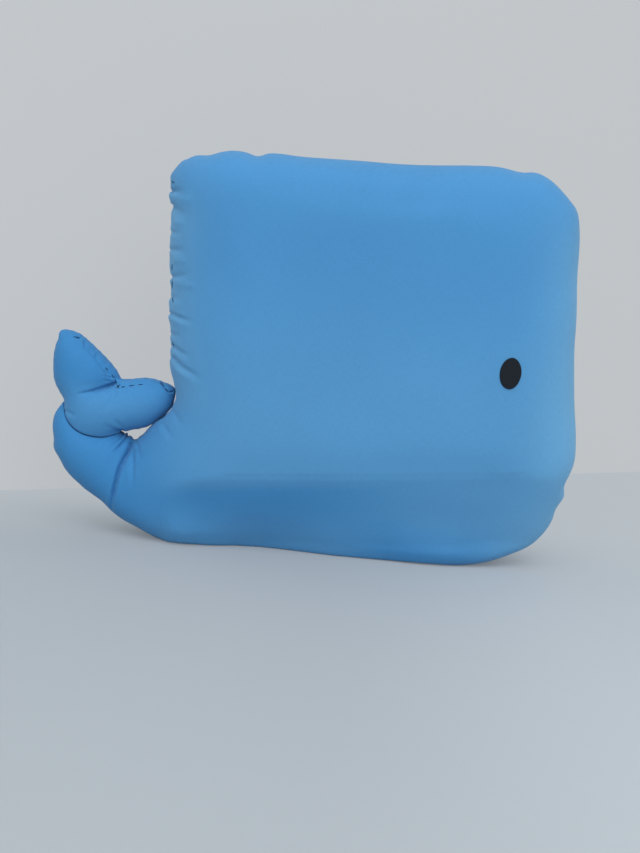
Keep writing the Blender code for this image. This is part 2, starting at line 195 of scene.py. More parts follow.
floor_paint = plain_paint("floor_paint", FLOOR_COLOUR, FLOOR_SEEN, FLOOR_SEEN_SHARES, FLOOR_PAINTED_LIGHT)
floor_corners = [(x * STAGE_REACH, y * STAGE_REACH, 0) for x, y in ((-1, -1), (1, -1), (1, 1), (-1, 1))]
floor = piece_from("floor", floor_corners, [(0, 1, 2, 3)], floor_paint, smooth=False)

wall_paint = plain_paint("wall_paint", WALL_COLOUR, WALL_SEEN, WALL_SEEN_SHARES, 1)
open_from_behind(wall_paint)
along = Vector((math.cos(WALL_TURN), math.sin(WALL_TURN), 0)) * STAGE_REACH
foot = Vector((0, WALL_GAP, 0))
rise = Vector((0, 0, STAGE_REACH))
wall_corners = [foot - along, foot + along, foot + along + rise, foot - along + rise]
wall = piece_from("wall", wall_corners, [(0, 1, 2, 3)], wall_paint, smooth=False)

LAMP_PLACE = Vector((0.16, -1.95, 2.05))
LAMP_AIM = Vector((0, 0, 0.15))
lamp_data = bpy.data.lights.new("front_light", "AREA")
lamp_data.shape = "SQUARE"
lamp_data.size = 3.0
lamp_data.energy = 70
lamp = bpy.data.objects.new("front_light", lamp_data)
lamp.location = LAMP_PLACE
lamp.rotation_euler = (LAMP_AIM - LAMP_PLACE).to_track_quat("-Z", "Y").to_euler()
bpy.context.scene.collection.objects.link(lamp)

room = bpy.data.worlds.new("room")
room.use_nodes = True
room.node_tree.nodes["Background"].inputs["Color"].default_value = (0.93, 0.96, 1, 1)
room.node_tree.nodes["Background"].inputs["Strength"].default_value = 0.57
bpy.context.scene.world = room


# Body, tail root and tail: two matching panels of plain cotton, sewn together round their rim,
# turned right side out and stuffed. One cover runs from the nose to the neck of the flukes. Its
# outline is given in the picture's pixels, and on the floor in millimetres.

BODY_RIM_PIXELS = (
    (121.8, 433), (126.8, 435.5), (132.2, 440), (139.2, 437), (146.5, 429.6), (153.2, 422.8),
    (162, 414.8), (171, 406.5), (175, 398.5), (175, 391), (172.5, 381), (170, 369), (171, 352),
    (170, 328), (168.8, 309.5), (171, 288), (170, 268), (170, 244), (171.3, 214), (169.4, 196),
    (169.8, 183.5), (171, 170.5), (182.8, 158), (197.3, 153), (210, 153.8), (222, 151), (234, 150),
    (246, 151.8), (258, 156), (270, 153), (306, 157.3),
    (354, 161), (402, 165), (438, 166), (474, 166), (498, 167), (522, 172), (534, 171.3),
    (546.6, 176.6), (555.5, 184.5), (566.5, 197), (575, 209), (576.8, 232), (575.6, 256), (574, 280),
    (573, 316), (570.8, 352), (571, 400), (573, 436), (572, 460), (567.5, 472), (562, 484),
    (563.6, 496.3), (555, 508), (552, 520.5), (544, 534), (530.8, 546.6),
)
FOOT_RIM = (
    (165.0, 7.0), (145.0, -0.5), (118.0, -5.0), (80.0, -7.5), (30.0, -8.0), (-30.0, -8.0),
    (-75.0, -7.5), (-98.0, -7.0), (-112.0, -4.5),
)
TAIL_RIM_PIXELS = (
    (137.5, 527), (124.7, 521), (112.6, 512.7), (100.6, 500.8), (89, 493), (77, 483),
    (64.4, 470), (59.7, 460.7), (52.6, 448.8), (52.5, 436), (51, 423.8), (54.7, 411.4), (63, 400.3),
)
NECK_PIXELS = (
    (63, 400.3), (64.3, 412.5), (67.3, 421.5), (73, 428.6), (81.5, 433.8), (92, 436.6), (105, 437),
    (121.8, 433),
)
NECK_HALF = 16.5 * MM
NECK_LEAST_DEPTH = 6
ROOT_FOLD_PIXELS = (
    (131.8, 441), (130, 449), (124, 459.4), (118.6, 470), (115.8, 480.8), (113.9, 491.5),
    (113, 500), (112.8, 506),
)
ROOT_FOLD_DEPTHS = (4, 10, 19, 25, 26, 23, 18, 12)
ROOT_FOLD_SHARES = (0.05, 0.20, 0.48, 0.64, 0.73, 0.82, 0.90, 0.96)

# How far in front of its seam the cloth's edge is seen, and how far it bulges past the seam, in
# millimetres, and the stretches of the picture where that holds
SEAM_DEPTH = 6
RIM_DEPTH = 9
REAR_DEPTH = 23
REAR_BULGE = -3.9
REAR_INNER_X = (180, 225)
REAR_OUTER_X = (147, 165)
REAR_LOW_Y = (350, 388)
NOSE_DEPTH = 6
NOSE_BULGE = 2.4
NOSE_X = (510, 560)
LIMB_DEPTH = -3
LIMB_X = (130, 165)


def step_up(value, low, high):
    """0 below low, 1 above high, and a smooth rise between."""
    s = np.clip((value - low) / (high - low), 0, 1)
    return s * s * (3 - 2 * s)


def step_down(value, low, high):
    """1 below low, 0 above high, and a smooth fall between."""
    return step_up(-value, -high, -low)


def arch(share):
    """A half ellipse over a line: 0 at both ends of it and 1 in the middle."""
    return np.sqrt(np.clip(1 - (2 * np.asarray(share) - 1) ** 2, 0, 1))


def sight(x, y):
    """The direction in which the camera sees a point of the picture."""
    return turn @ Vector(((x - PICTURE_WIDTH / 2) / FOCAL_PIXELS,
                          (PICTURE_HEIGHT / 2 - y) / FOCAL_PIXELS, -1))


def on_seam(pixels, depths=SEAM_DEPTH, bulge=0):
    """The places on the seam's plane, in millimetres, of points that the picture shows.

    Each is seen its depth in front of the seam, where the cloth bulges past it."""
    placed = []
    for pixel, depth in zip(pixels, np.broadcast_to(depths, len(pixels))):
        ray = sight(*pixel)
        far = float(-depth * MM - camera.location.y) / ray.y
        place = (camera.location + far * ray) / MM
        placed.append((place.x + bulge, place.z))
    return placed


def body_rim_at(pixels):
    """The same for the body, which bulges most on its rear edge and a little on its nose."""
    placed = []
    for x, y in pixels:
        rear = step_down(x, *REAR_INNER_X) * step_down(y, *REAR_LOW_Y) * step_up(x, *REAR_OUTER_X)
        nose = step_up(x, *NOSE_X)
        limb = step_down(x, *LIMB_X)
        depth = RIM_DEPTH + REAR_DEPTH * rear + NOSE_DEPTH * nose + LIMB_DEPTH * limb
        placed += on_seam([(x, y)], depth, NOSE_BULGE * nose + REAR_BULGE * rear)
    return placed


CURVE_STEPS = 16
NEAREST_BATCH = 2000000


def curve_through(points, step, unit=MM):
    """An open smooth curve through points in that unit, cut evenly into steps of about step."""
    chosen = np.array(points, float) * unit
    knots = np.append(0, np.cumsum(np.linalg.norm(np.diff(chosen, axis=0), axis=1) ** 0.5))
    slopes = np.gradient(chosen, knots, axis=0)
    t = np.linspace(0, knots[-1], CURVE_STEPS * len(chosen))
    i = np.clip(np.searchsorted(knots, t, "right") - 1, 0, len(chosen) - 2)
    span = (knots[i + 1] - knots[i])[:, None]
    s = ((t - knots[i]) / span[:, 0])[:, None]
    dense = ((2 * s ** 3 - 3 * s ** 2 + 1) * chosen[i] + (s ** 3 - 2 * s ** 2 + s) * span * slopes[i]
             + (3 * s ** 2 - 2 * s ** 3) * chosen[i + 1] + (s ** 3 - s ** 2) * span * slopes[i + 1])
    run = np.append(0, np.cumsum(np.linalg.norm(np.diff(dense, axis=0), axis=1)))
    stops = np.linspace(0, run[-1], max(2, round(run[-1] / step)) + 1)
    return np.stack([np.interp(stops, run, dense[:, k]) for k in (0, 1)], axis=1)


def nearest(points, line):
    """Each point's distance to a line of points, its share of the way along it, and its side."""
    start, run = line[:-1], np.diff(line, axis=0)
    length = np.linalg.norm(run, axis=1)
    before = np.append(0, np.cumsum(length))
    found = []
    for part in np.array_split(points, max(1, len(points) * len(start) // NEAREST_BATCH)):
        gap = part[:, None] - start[None]
        share = np.clip((gap * run).sum(2) / length ** 2, 0, 1)
        off = gap - share[..., None] * run
        far = np.linalg.norm(off, axis=2)
        best = far.argmin(1)
        row = np.arange(len(part))
        side = run[best, 0] * gap[row, best, 1] - run[best, 1] * gap[row, best, 0]
        way = (before[best] + share[row, best] * length[best]) / before[-1]
        found.append(np.stack([far[row, best], way, np.sign(side)]))
    return np.concatenate(found, axis=1)


def inside(points, rim):
    """Whether each point lies inside a closed rim."""
    x, z = points[:, :1], points[:, 1:]
    a, b = rim, np.roll(rim, -1, axis=0)
    crossed = (a[:, 1] > z) != (b[:, 1] > z)
    climb = np.where(a[:, 1] == b[:, 1], 1, b[:, 1] - a[:, 1])
    reach = a[:, 0] + (z - a[:, 1]) / climb * (b[:, 0] - a[:, 0])
    return (crossed & (x < reach)).sum(1) % 2 == 1


def square_to(line):
    """The direction across each step of a line, to its right."""
    run = np.diff(line, axis=0)
    return np.stack([run[:, 1], -run[:, 0]], axis=1) / np.linalg.norm(run, axis=1)[:, None]


def doubled_areas(points, triangles):
    """Twice each triangle's area, below 0 where its corners run the other way round."""
    a, b, c = (points[triangles[:, k]] for k in range(3))
    return (b - a)[:, 0] * (c - a)[:, 1] - (b - a)[:, 1] * (c - a)[:, 0]


RIM_ROW_CLEAR = 0.93
CREASE_ROW_CLEAR = 0.9
CREASE_RIM_CLEAR = 1.2
GRID_CLEAR = 0.6
GRID_ROW = 0.866
SAME_POINT = 1e-7
LEAST_AREA = 1e-12


def net(rim, creases, rows, spacing):
    """A fine flat net of triangles inside a rim, with rows of points beside the rim and creases.
    In the spacing, each area runs from one x to another, with its own gap between the points."""
    closed = np.vstack([rim, rim[:1]])
    middle = (closed[1:] + closed[:-1]) / 2
    inward = square_to(closed)
    points = [rim] + [crease[1:-1] for crease in creases]
    links = [(i, (i + 1) % len(rim)) for i in range(len(rim))]
    count = len(rim)
    for crease in creases:
        inner = len(crease) - 2
        links += [(count + i, count + i + 1) for i in range(inner - 1)]
        count += inner
    for number, row in enumerate(rows):
        base = middle if number % 2 else rim
        way = inward if number % 2 else (inward + np.roll(inward, 1, axis=0))
        way = way / np.linalg.norm(way, axis=1)[:, None]
        moved = base + way * row
        near = nearest(moved, closed)[0]
        points.append(moved[(near > RIM_ROW_CLEAR * row) & inside(moved, rim)])
    for crease in creases:
        mid = (crease[1:] + crease[:-1]) / 2
        for row in rows[1:4]:
            for sign in (-1, 1):
                moved = mid + square_to(crease) * row * sign
                clear = nearest(moved, closed)[0] > CREASE_RIM_CLEAR * row
                clear &= nearest(moved, crease)[0] > CREASE_ROW_CLEAR * row
                points.append(moved[clear & inside(moved, rim)])
    low, high = rim.min(0), rim.max(0)
    for area_low, area_high, gap in spacing:
        a = np.arange(max(low[0], area_low), min(high[0], area_high), gap)
        b = np.arange(low[1], high[1], gap * GRID_ROW)
        grid = np.stack(np.meshgrid(a, b), axis=2)
        grid[1::2, :, 0] += gap / 2
        grid = grid.reshape(-1, 2)
        grid = grid[inside(grid, rim)]
        clear = nearest(grid, closed)[0] > rows[-1] + GRID_CLEAR * gap
        for crease in creases:
            clear &= nearest(grid, crease)[0] > rows[3] + GRID_CLEAR * gap
        points.append(grid[clear])
    points = np.vstack(points)
    found = delaunay_2d_cdt([Vector(p) for p in points], links, [], 0, SAME_POINT, False)
    points = np.array([tuple(v) for v in found[0]])
    triangles = np.array(found[2])
    triangles = triangles[inside(points[triangles].mean(1), rim)]
    area = doubled_areas(points, triangles)
    triangles[area < 0] = triangles[area < 0][:, ::-1]
    triangles = triangles[np.abs(area) > LEAST_AREA]
    used = np.unique(triangles)
    renumber = np.full(len(points), -1)
    renumber[used] = np.arange(len(used))
    return points[used], renumber[triangles]


SWELL_ROUNDS = 900
SWELL_ERROR = 1e-12
LEAST_PULL = 1e-30


def swell(points, triangles, fixed, reach, held):
    """How far a stuffed panel swells at each point: 0 on its rim, near 1 well inside it.

    It is the shape of a stretched skin that pulls back to 1 over a distance reach. The points
    in fixed keep the values in held."""
    edges, weights = [], []
    for k in range(3):
        i, j, o = triangles[:, k], triangles[:, (k + 1) % 3], triangles[:, (k + 2) % 3]
        u, v = points[i] - points[o], points[j] - points[o]
        cross = np.abs(u[:, 0] * v[:, 1] - u[:, 1] * v[:, 0])
        pull = (reach[i] ** 2 + reach[j] ** 2 + reach[o] ** 2) / 3
        edges.append(np.stack([i, j]))
        weights.append(0.5 * (u * v).sum(1) / cross * pull)
    area = 0.5 * np.abs(doubled_areas(points, triangles))
    (i, j), w, n = np.concatenate(edges, axis=1), np.concatenate(weights), len(points)
    mass = np.bincount(triangles.ravel(), np.repeat(area / 3, 3), n)
    centre = np.bincount(i, w, n) + np.bincount(j, w, n) + mass
    free = ~fixed

    def pulled(value):
        return centre * value - np.bincount(i, w * value[j], n) - np.bincount(j, w * value[i], n)

    value = np.where(fixed, held, 0.5)
    rest = np.where(free, mass - pulled(value), 0)
    step = rest / centre
    size = (rest * step).sum()
    for _ in range(SWELL_ROUNDS):
        change = pulled(np.where(free, step, 0))
        share = size / max((step * change * free).sum(), LEAST_PULL)
        value = value + share * step * free
        rest = np.where(free, rest - share * change, 0)
        if np.abs(rest).max() < SWELL_ERROR:
            break
        better = rest / centre
        grown = (rest * better).sum()
        step = better + grown / size * step
        size = grown
    return np.clip(value, 0, None)


ON_LINE = 0.02 * MM


def points_along(points, line):
    """The numbers of the points that lie on a line, in their order along it."""
    gap, way = nearest(points, line)[:2]
    on = np.flatnonzero(gap < ON_LINE)
    return on[np.argsort(way[on])]


def two_panels(name, points, triangles, seam, ring, height, cloth):
    """A closed cover of two panels over one net, joined along the seam, with a strip of cloth
    across its open end, between the two sides of the ring."""
    count = len(points)
    back = np.where(seam, np.arange(count), 0)
    free = np.flatnonzero(~seam)
    back[free] = count + np.arange(len(free))
    front_points = np.stack([points[:, 0], -height, points[:, 1]], axis=1)
    back_points = np.stack([points[free, 0], height[free], points[free, 1]], axis=1)
    faces = np.vstack([triangles, back[triangles][:, ::-1]]).tolist()
    for a, b in zip(ring[:-1].tolist(), ring[1:].tolist()):
        corners = (a, b, int(back[b]), int(back[a]))
        faces.append(tuple(dict.fromkeys(corners)))
    return piece_from(name, np.vstack([front_points, back_points]).tolist(), faces, cloth)


def places(piece):
    """A piece's points as an array."""
    found = np.empty(len(piece.data.vertices) * 3)
    piece.data.vertices.foreach_get("co", found)
    return found.reshape(-1, 3)


def put_places(piece, found):
    """Moves a piece's points to the places in an array."""
    piece.data.vertices.foreach_set("co", found.ravel())
    piece.data.update()


def outward(piece):
    """The direction in which the surface faces at each of a piece's points."""
    found = np.empty(len(piece.data.vertices) * 3)
    piece.data.vertices.foreach_get("normal", found)
    return found.reshape(-1, 3)


COTTON_ROUGHNESS = 0.82
COTTON_SHINE = 0.25
NAP_ROUGHNESS = 0.45
NAP_TINT = (0.70, 0.90, 1.0, 1)
DYE_CLOUDS = 9.0
DYE_TONES = (0.97, 1.03)
SLUB_STRETCHES = ((220, 1500, 220), (1500, 220, 220))
SLUB_TONES = (0.93, 1.07)
SLUB_RELIEF = 0.6
THREAD_COUNT = 900.0
WEAVE_DEPTH = 0.15 * MM
WEAVE_STRENGTH = 0.3


def cotton(name, colour, painted_light_colour, nap):
    """Plain-woven cotton: crossing threads, slubs, broad unevenness of the dye, and a soft nap.
    The dye goes from its own colour towards a lighter one by the painted light and shade marked on
    the cloth."""
    cloth = bpy.data.materials.new(name)
    cloth.use_nodes = True
    tree = cloth.node_tree
    shader = tree.nodes["Principled BSDF"]
    shader.inputs["Roughness"].default_value = COTTON_ROUGHNESS
    shader.inputs["Specular IOR Level"].default_value = COTTON_SHINE
    shader.inputs["Sheen Weight"].default_value = nap
    shader.inputs["Sheen Roughness"].default_value = NAP_ROUGHNESS
    shader.inputs["Sheen Tint"].default_value = NAP_TINT
    place = add(tree, "ShaderNodeAttribute", attribute_name="cloth_place")
    slubs, weave = [], []
    for stretch, quarter in zip(SLUB_STRETCHES, (0, 90)):
        turned = add(tree, "ShaderNodeMapping", Scale=stretch)
        threads = add(tree, "ShaderNodeTexNoise", Scale=1.0, Detail=4.0, Roughness=0.7)
        tree.links.new(place.outputs["Vector"], turned.inputs["Vector"])
        tree.links.new(turned.outputs["Vector"], threads.inputs["Vector"])
        slubs.append(threads.outputs["Fac"])
        turned = add(tree, "ShaderNodeMapping", Rotation=(0, 0, math.radians(quarter)))
        threads = add(tree, "ShaderNodeTexWave", Scale=THREAD_COUNT, Distortion=0.6, Detail=1.0)
        tree.links.new(place.outputs["Vector"], turned.inputs["Vector"])
        tree.links.new(turned.outputs["Vector"], threads.inputs["Vector"])
        weave.append(threads.outputs["Fac"])
    both = combined(tree, "ADD", *slubs)
    broad = add(tree, "ShaderNodeTexNoise", Scale=DYE_CLOUDS, Detail=3.0, Roughness=0.55)
    tree.links.new(place.outputs["Vector"], broad.inputs["Vector"])
    slub_tone = rescaled(tree, both, (0.7, 1.3), SLUB_TONES)
    dye_tone = rescaled(tree, broad.outputs["Fac"], (0.3, 0.7), DYE_TONES)
    # Painted light and shade: the level marked on the cloth lifts the dye towards the lighter colour
    painted_light_mask = add(tree, "ShaderNodeAttribute", attribute_name="cloth_painted_light")
    dye = add(tree, "ShaderNodeMix", data_type="RGBA")
    dye.inputs[6].default_value = (*colour, 1)
    dye.inputs[7].default_value = (*painted_light_colour, 1)
    tree.links.new(painted_light_mask.outputs["Fac"], dye.inputs[0])
    wash = add(tree, "ShaderNodeMix", data_type="RGBA", blend_type="MULTIPLY")
    wash.inputs[0].default_value = 1.0
    tree.links.new(dye.outputs[2], wash.inputs[6])
    tree.links.new(combined(tree, "MULTIPLY", slub_tone, dye_tone), wash.inputs[7])
    tree.links.new(wash.outputs[2], shader.inputs["Base Color"])
    relief = add(tree, "ShaderNodeMath", operation="MULTIPLY_ADD")
    relief.inputs[1].default_value = SLUB_RELIEF
    tree.links.new(both, relief.inputs[0])
    tree.links.new(combined(tree, "MULTIPLY", *weave), relief.inputs[2])
    bump = add(tree, "ShaderNodeBump", Strength=WEAVE_STRENGTH, Distance=WEAVE_DEPTH)
    tree.links.new(relief.outputs[0], bump.inputs["Height"])
    tree.links.new(bump.outputs["Normal"], shader.inputs["Normal"])
    return cloth


# The cotton's blue where no painted light lifts it, kept on the tail as painted shade, and the lighter
# blue that painted light lifts it towards
BLUE_DYE = (0.040, 0.216, 0.480)
PAINTED_LIGHT_BLUE = (0.150, 0.390, 0.630)
blue_cotton = cotton("blue_cotton", BLUE_DYE, PAINTED_LIGHT_BLUE, nap=0.15)

IRONED_SHARE = 0.6
STUFFING_PRESS = 4.0
STUFFING_FRAMES = 20
SPARE_CLOTH = 0.06
LEAST_MOVE = 1e-9


def ironed(cover, move, passes):
    """The same movement with its fine wrinkles smoothed out over neighbouring points."""
    ends = np.empty(len(cover.data.edges) * 2, int)
    cover.data.edges.foreach_get("vertices", ends)
    a, b = ends.reshape(-1, 2).T
    count = len(move)
    meets = np.bincount(a, minlength=count) + np.bincount(b, minlength=count)
    for _ in range(passes):
        around = np.stack([np.bincount(a, move[b, k], count) + np.bincount(b, move[a, k], count)
                           for k in range(3)], axis=1)
        move = (1 - IRONED_SHARE) * move + IRONED_SHARE * around / meets[:, None]
    return move


def stuff(cover, held, slack, cap, passes):
    """Lets the stuffing press the cloth out from inside, with the sewn points held and a little
    spare cloth beside them, and moves no point further than its cap."""
    start = places(cover)
    for title, weights in (("held", held), ("slack", slack)):
        group = cover.vertex_groups.new(name=title)
        for level in np.unique(np.round(weights, 1)):
            chosen = np.flatnonzero(np.round(weights, 1) == level)
            if level > 0:
                group.add(chosen.tolist(), float(level), "REPLACE")
    cloth = cover.modifiers.new("cloth", "CLOTH")
    settings = cloth.settings
    settings.quality = 4
    settings.mass = 0.15
    settings.tension_stiffness = 20
    settings.compression_stiffness = 20
    settings.shear_stiffness = 8
    settings.bending_stiffness = 0.15
    settings.use_pressure = True
    settings.uniform_pressure_force = STUFFING_PRESS
    settings.effector_weights.gravity = 0
    settings.vertex_group_mass = "held"
    settings.pin_stiffness = 1
    settings.vertex_group_shrink = "slack"
    settings.shrink_min = 0
    settings.shrink_max = -SPARE_CLOTH
    cloth.collision_settings.use_collision = False
    cloth.point_cache.frame_start = 1
    cloth.point_cache.frame_end = STUFFING_FRAMES
    for frame_number in range(1, STUFFING_FRAMES + 1):
        bpy.context.scene.frame_set(frame_number)
    pressed = cover.evaluated_get(bpy.context.evaluated_depsgraph_get())
    now = np.empty(len(start) * 3)
    pressed.data.vertices.foreach_get("co", now)
    move = ironed(cover, now.reshape(-1, 3) - start, passes) * (1 - held)[:, None]
    size = np.linalg.norm(move, axis=1) + LEAST_MOVE
    move *= (cap * np.tanh(size / cap) / size)[:, None]
    cover.modifiers.remove(cloth)
    cover.vertex_groups.clear()
    bpy.context.scene.frame_set(1)
    put_places(cover, start + move)


def divide(cover):
    """One subdivision, kept as the cover's own mesh."""
    finer = cover.modifiers.new("finer", "SUBSURF")
    finer.levels = 1
    finer.render_levels = 1
    smooth = cover.evaluated_get(bpy.context.evaluated_depsgraph_get())
    made = bpy.data.meshes.new_from_object(smooth)
    cover.modifiers.remove(finer)
    coarse = cover.data
    cover.data = made
    bpy.data.meshes.remove(coarse)
    made.name = cover.name
    made.polygons.foreach_set("use_smooth", [True] * len(made.polygons))


def in_picture(at):
    """Where the camera sees each point, in the photograph's pixels. The far side is mirrored."""
    near = np.stack([at[:, 0], -np.abs(at[:, 1]), at[:, 2]], axis=1)
    view = np.array(turn.to_matrix())
    local = (near - np.array(camera.location)) @ view
    return np.stack([PICTURE_WIDTH / 2 - FOCAL_PIXELS * local[:, 0] / local[:, 2],
                     PICTURE_HEIGHT / 2 + FOCAL_PIXELS * local[:, 1] / local[:, 2]], axis=1)


FOLD_STEP_PIXELS = 1.5
FOLD_ROOM = 6
LIP_PLACE = 2.2
LIP_WIDTH = 1.5
PAST_END = 0.001


def fold_in(pixels, line, depth, width, lip=0.0, fade=(0.15, 0.3), flare=0.0):
    """How far a crease along a line of picture points draws the cloth in, with a soft lip on
    its left side. The crease fades at its two ends, and flares towards its far one."""
    curve = curve_through(line, FOLD_STEP_PIXELS, unit=1.0)
    room = FOLD_ROOM * width * (1 + flare)
    low, high = curve.min(0) - room, curve.max(0) + room
    near = np.flatnonzero(((pixels > low) & (pixels < high)).all(1))
    draw = np.zeros(len(pixels))
    if len(near) == 0:
        return draw
    far, way, side = nearest(pixels[near], curve)
    ends = step_up(way, -PAST_END, fade[0]) * (1 - step_up(way, 1 - fade[1], 1 + PAST_END))
    width = width * (1 + flare * way)
    beside = (far - LIP_PLACE * width) / (LIP_WIDTH * width)
    draw[near] = (depth * np.exp(-(far / width) ** 2)
                  - lip * np.exp(-beside ** 2) * (side > 0)) * ends
    return draw * MM


GATHER_SHIFT = 0.35
GATHER_LEAST = 0.15


def ripple(way, waves, seed):
    """An uneven gather along a seam: rises and hollows in turn, about that many of each."""
    rng = np.random.default_rng(seed)
    count = 2 * waves + 1
    knots = (np.arange(count) + rng.uniform(-GATHER_SHIFT, GATHER_SHIFT, count)) / (2 * waves)
    values = rng.uniform(GATHER_LEAST, 1, count) * np.where(np.arange(count) % 2, -1, 1)
    i = np.clip(np.searchsorted(knots, way) - 1, 0, 2 * waves - 1)
    share = step_up(way, knots[i], knots[i + 1])
    return values[i] + (values[i + 1] - values[i]) * share


def skin_way(at, seam_line):
    """How far each point lies from the seam along the skin, and where along the seam."""
    far, way = nearest(at[:, [0, 2]], seam_line)[:2]
    return np.hypot(far, at[:, 1]), way


SEAM_GROOVE = 1.3 * MM
SEAM_GROOVE_WIDTH = 1.8 * MM
GATHER_START = 2 * MM


def sew(cover, seam_line, waves, pucker, reach, seed):
    """Draws the seam in between the two panels, and gathers the cloth on both sides of it."""
    at = places(cover)
    skin, way = skin_way(at, seam_line)
    wave = np.where(at[:, 1] > 0, ripple(way, waves, seed), ripple(way, waves, seed + 1))
    gather = pucker * wave * np.exp(-skin / reach) * (1 - np.exp(-(skin / GATHER_START) ** 2))
    groove = SEAM_GROOVE * np.exp(-(skin / SEAM_GROOVE_WIDTH) ** 2)
    put_places(cover, at + outward(cover) * (gather - groove)[:, None])


WRAP_SHARE = 0.6
FACE_SHIFT = 0.1


def mark_cloth(piece, fade):
    """Gives each point its place on the cloth, for the weave, and the painted light and shade in its
    dye.
    """
    at = places(piece)
    wrap = WRAP_SHARE * np.abs(at[:, 1])
    spread = np.stack([at[:, 0] + wrap, at[:, 2] + wrap, FACE_SHIFT * np.sign(at[:, 1])], axis=1)
    mark = piece.data.attributes.new("cloth_place", "FLOAT_VECTOR", "POINT")
    mark.data.foreach_set("vector", spread.ravel())
    # The level of painted light and shade in the dye at each point
    mark = piece.data.attributes.new("cloth_painted_light", "FLOAT", "POINT")
    mark.data.foreach_set("value", fade)


# The flat net of both panels, finer on the tail, and how far they swell away from their seam
SEAM_ROWS = (0.25 * MM, 0.7 * MM, 1.5 * MM, 2.8 * MM, 4.6 * MM, 7.0 * MM, 10.0 * MM)
RIM_STEP = 3 * MM
NECK_STEP = 2.4 * MM
FOLD_STEP = 1.4 * MM
KNEE_STEP = 3.5 * MM
LIMB_END_X = -92 * MM
LIMB_SPACING = 2.9 * MM
BODY_SPACING = 5.2 * MM

BODY_HALF = 51 * MM
TAIL_SWELL = 37 * MM
HALF_CHANGE_X = (-158 * MM, -66 * MM)
BODY_SKIN_REACH = 9 * MM
LIMB_SKIN_REACH = 20 * MM
REACH_CHANGE_X = (-150 * MM, -70 * MM)
FACE_CROWN = 5.5 * MM
CROWN_MIDDLE = (38, 160)
CROWN_REACH = (175, 165)
KNEE_PIXELS = ((160, 489), (200, 479), (300, 477), (400, 476.5), (520, 476))
KNEE_DEPTH = 51
KNEE_ROUND = 1.6 * MM
BROW_PIXELS = ((160, 474), (260, 466), (350, 462), (430, 461), (520, 462))
BROW_DEPTH = 52
BELLY_LEAN = 0.35
BROW_LEAN = 0.05
LEAN_MOST = 24 * MM
LEAN_START_X = (-135 * MM, -85 * MM)

outer_rim = [*body_rim_at(BODY_RIM_PIXELS), *FOOT_RIM, *body_rim_at(TAIL_RIM_PIXELS)]
neck_depths = NECK_HALF / MM * arch(np.linspace(0, 1, len(NECK_PIXELS)))
neck_line = on_seam(NECK_PIXELS, np.maximum(NECK_LEAST_DEPTH, neck_depths))
body_seam = curve_through(outer_rim, RIM_STEP)
neck = curve_through(neck_line, NECK_STEP)
rim = np.vstack([body_seam[:-1], neck[:-1]])
fold = curve_through(on_seam(ROOT_FOLD_PIXELS, ROOT_FOLD_DEPTHS), FOLD_STEP)
knee_line = on_seam(KNEE_PIXELS, KNEE_DEPTH)
brow_line = on_seam(BROW_PIXELS, BROW_DEPTH)
knee = curve_through(knee_line, KNEE_STEP)
points, triangles = net(rim, [fold, knee], SEAM_ROWS,
                        [(-1, LIMB_END_X, LIMB_SPACING), (LIMB_END_X, 1, BODY_SPACING)])
on_rim = nearest(points, np.vstack([rim, rim[:1]]))[0] < ON_LINE
ring = points_along(points, neck)
on_ring = np.isin(np.arange(len(points)), ring[1:-1])
reach = LIMB_SKIN_REACH + (BODY_SKIN_REACH - LIMB_SKIN_REACH) * step_up(points[:, 0], *REACH_CHANGE_X)
half = TAIL_SWELL + (BODY_HALF - TAIL_SWELL) * step_up(points[:, 0], *HALF_CHANGE_X)
crown = np.clip(1 - ((points / MM - CROWN_MIDDLE) / CROWN_REACH) ** 2, 0, 1)
half = half + FACE_CROWN * (crown[:, 0] * crown[:, 1])


def bent_in(points, line, lean):
    """How far the face leans in below a line across it, with a soft bend on the line."""
    drop = np.interp(points[:, 0], *np.array(line).T * MM) - points[:, 1]
    return lean * np.logaddexp(0, drop / KNEE_ROUND) * KNEE_ROUND


lean = bent_in(points, knee_line, BELLY_LEAN) + bent_in(points, brow_line, BROW_LEAN)
half = half - np.minimum(lean, LEAN_MOST) * step_up(points[:, 0], *LEAN_START_X)
free_swell = swell(points, triangles, on_rim, reach, np.zeros(len(points)))
gap, way = nearest(points, fold)[:2]
on_fold = (gap < ON_LINE) & ~on_rim
share = np.interp(way, np.linspace(0, 1, len(ROOT_FOLD_SHARES)), ROOT_FOLD_SHARES)
held = np.where(on_fold, share * free_swell, 0)
neck_half = NECK_HALF * arch(nearest(points, neck)[1])
held = np.where(on_ring, (neck_half / half) ** 2, held)
height = half * np.sqrt(swell(points, triangles, on_rim | on_fold, reach, held))
body_cover = two_panels("body_cover", points, triangles, on_rim & ~on_ring, ring, height, blue_cotton)

# What is held while the stuffing presses, where cloth is spare, and how far the cloth may give
HELD_AT_SEAM = 0.1 * MM
HELD_AT_FLOOR = (2 * MM, 12 * MM)
HELD_AT_NECK = (0.1 * MM, 6 * MM)
FOLD_LOOSENED = 0.6
SLACK_REACH = 26 * MM
FACE_GIVE = 1.5 * MM
SHOULDER_GIVE = 5 * MM
SHOULDER_REACH = 50 * MM

at = places(body_cover)
skin = skin_way(at, body_seam)[0]
fold_far, fold_way = nearest(at[:, [0, 2]], fold)[:2]
held = np.where(skin < HELD_AT_SEAM, 1.0, 0.0)
held = np.maximum(held, np.where(fold_far < HELD_AT_SEAM, 1 - fold_way * FOLD_LOOSENED, 0))
held = np.maximum(held, 1 - step_up(at[:, 2], *HELD_AT_FLOOR))
held = np.maximum(held, 1 - step_up(nearest(at[:, [0, 2]], neck)[0], *HELD_AT_NECK))
slack = np.exp(-(skin / SLACK_REACH) ** 2)
cap = FACE_GIVE + (SHOULDER_GIVE - FACE_GIVE) * np.exp(-(skin / SHOULDER_REACH) ** 2)
stuff(body_cover, held, slack, cap, passes=10)
divide(body_cover)

